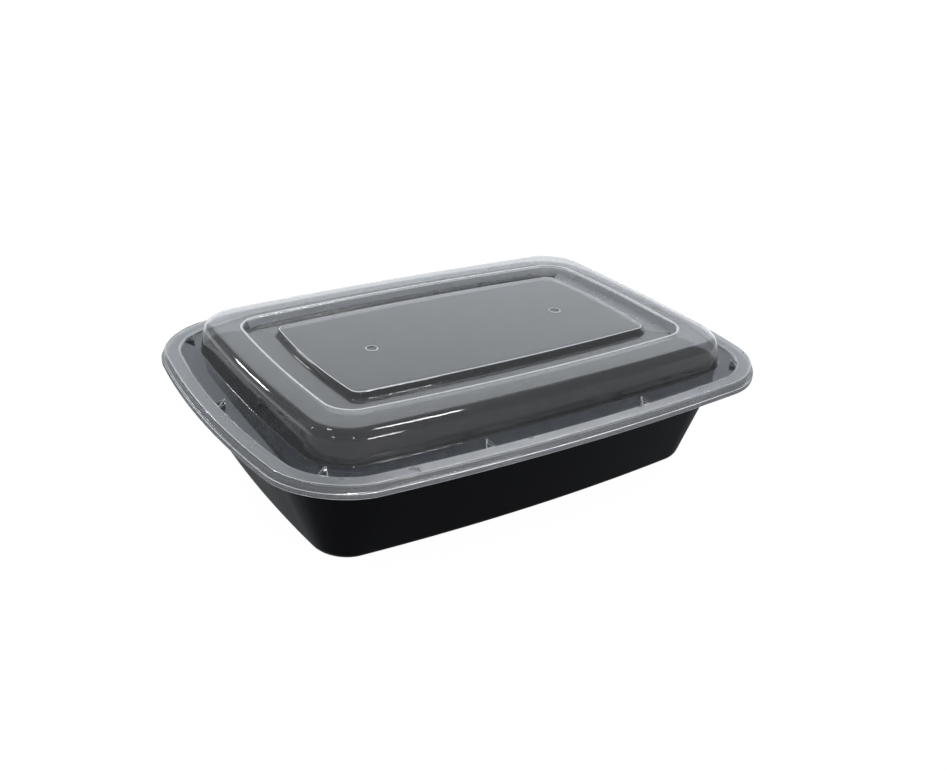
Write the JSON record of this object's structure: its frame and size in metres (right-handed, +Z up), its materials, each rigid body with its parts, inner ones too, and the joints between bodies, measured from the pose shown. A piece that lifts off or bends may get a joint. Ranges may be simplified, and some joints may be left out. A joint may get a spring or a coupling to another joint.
{
  "type": "takeaway meal container",
  "caption": "Shallow rectangular takeaway meal container: black tapered tray with rounded corners and a clear press-on domed lid with a raised panel.",
  "frame": {"origin": "centre of the tray's underside, on the surface it rests on", "axes": "+Z up; +X along the long side; +Y across the short side"},
  "size_m": [0.2212, 0.1562, 0.0574],
  "materials": {
    "tray_plastic": "black polypropylene, semi-gloss",
    "lid_plastic": "clarified polypropylene, clear with a slight haze"
  },
  "bodies": {
    "root": {"tray": "tray_plastic", "lid": "lid_plastic"}
  },
  "joints": []
}
